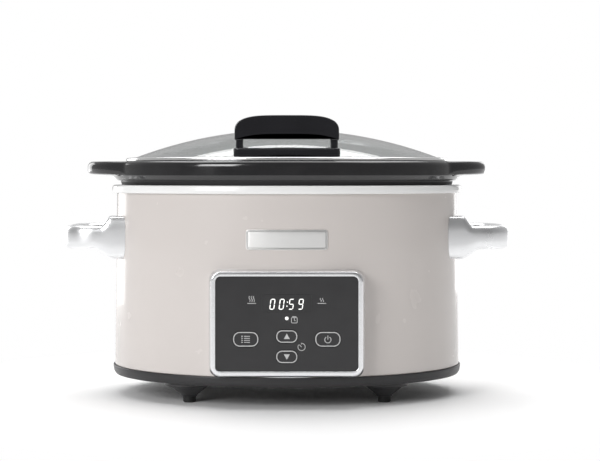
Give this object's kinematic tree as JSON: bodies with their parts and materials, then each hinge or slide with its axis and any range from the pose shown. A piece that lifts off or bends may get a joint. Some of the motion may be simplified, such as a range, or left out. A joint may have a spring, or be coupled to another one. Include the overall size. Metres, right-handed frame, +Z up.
{
  "type": "slow cooker",
  "caption": "Oval countertop slow cooker with painted metal housing, lift-out stoneware crock, hinged glass lid, metal side handles and a digital control panel.",
  "frame": {"origin": "centre of the footprint on the surface that the feet stand on", "axes": "+X to the right along the long side, +Y to the back where the hinge and the cord inlet are, +Z up; the control panel faces -Y"},
  "size_m": [0.38, 0.232, 0.2363],
  "materials": {
    "housing_paint": "glossy greige enamel",
    "rim_white": "glossy white",
    "black_plastic": "fine satin black",
    "handle_black": "polished black",
    "fascia_black": "glossy black",
    "display_dark": "smoked",
    "led_lens": "frosted lens",
    "handle_chrome": "polished",
    "bezel_chrome": "polished",
    "satin_plate": "fine brushed",
    "lid_steel": "polished",
    "screw_steel": "zinc plated",
    "liner_metal": "aluminised",
    "stoneware": "glossy black glaze",
    "lid_glass": "clear tempered",
    "rubber": "matt",
    "heater_mica": "woven glass and mica",
    "glass_wool": "felted",
    "board_green": "solder mask",
    "component_black": "moulded",
    "component_blue": "moulded",
    "component_yellow": "taped",
    "lead_red": "silicone"
  },
  "bodies": {
    "base": {"base_pan": "black_plastic", "leg_front_left": "black_plastic", "leg_front_right": "black_plastic", "leg_rear_left": "black_plastic", "leg_rear_right": "black_plastic", "foot_pads": "rubber", "leg_screws": "screw_steel", "rating_plate": "satin_plate", "housing_wrap": "housing_paint", "rim_ring": "rim_white", "badge": "satin_plate", "left_handle": "handle_chrome", "right_handle": "handle_chrome", "handle_screws": "screw_steel", "heating_liner": "liner_metal", "liner_posts": "screw_steel", "liner_screws": "screw_steel", "heating_band": "heater_mica", "band_springs": "screw_steel", "insulation_blanket": "glass_wool", "heat_shield": "liner_metal", "panel_bezel": "bezel_chrome", "panel_screws": "screw_steel", "panel_fascia": "fascia_black", "display_window": "display_dark", "display_module": "display_dark", "indicator_led": "led_lens", "control_pcb": "board_green", "control_pcb_screws": "screw_steel", "tact_switches": "component_black", "power_pcb": "board_green", "power_pcb_screws": "screw_steel", "relay": "component_blue", "transformer": "component_yellow", "filter_capacitor": "component_yellow", "terminal_block": "component_black", "thermistor": "screw_steel", "thermal_fuse": "component_yellow", "heater_leads": "lead_red", "cord_gland": "black_plastic"},
    "crock": {"crock": "stoneware"},
    "hinge": {"hinge_bracket": "black_plastic", "hinge_pin": "screw_steel"},
    "lid": {"lid_glass": "lid_glass", "lid_band": "lid_steel", "lid_handle_pad": "handle_black", "lid_handle": "handle_black", "lid_handle_screws": "screw_steel", "lid_hinge_arm": "handle_black", "lid_hinge_screws": "screw_steel", "lid_screw_washers": "rubber"},
    "button_menu": {"button_menu": "fascia_black"},
    "button_up": {"button_up": "fascia_black"},
    "button_down": {"button_down": "fascia_black"},
    "button_power": {"button_power": "fascia_black"}
  },
  "joints": [
    {"name": "crock_lift", "type": "slide", "parent": "base", "child": "crock", "axis": [0, 0, 1], "range_m": [0, 0.15]},
    {"name": "hinge_lift", "type": "slide", "parent": "crock", "child": "hinge", "axis": [0, 0, 1], "range_m": [0, 0.03]},
    {"name": "lid_hinge", "type": "hinge", "parent": "hinge", "child": "lid", "pos_m": [0, 0.1108, 0.208], "axis": [-1, 0, 0], "range_deg": [0, 95]},
    {"name": "button_menu_press", "type": "slide", "parent": "base", "child": "button_menu", "axis": [0, 1, 0], "range_m": [0, 0.001], "stiffness_N_per_m": 500},
    {"name": "button_up_press", "type": "slide", "parent": "base", "child": "button_up", "axis": [0, 1, 0], "range_m": [0, 0.001], "stiffness_N_per_m": 500},
    {"name": "button_down_press", "type": "slide", "parent": "base", "child": "button_down", "axis": [0, 1, 0], "range_m": [0, 0.001], "stiffness_N_per_m": 500},
    {"name": "button_power_press", "type": "slide", "parent": "base", "child": "button_power", "axis": [0, 1, 0], "range_m": [0, 0.001], "stiffness_N_per_m": 500}
  ]
}
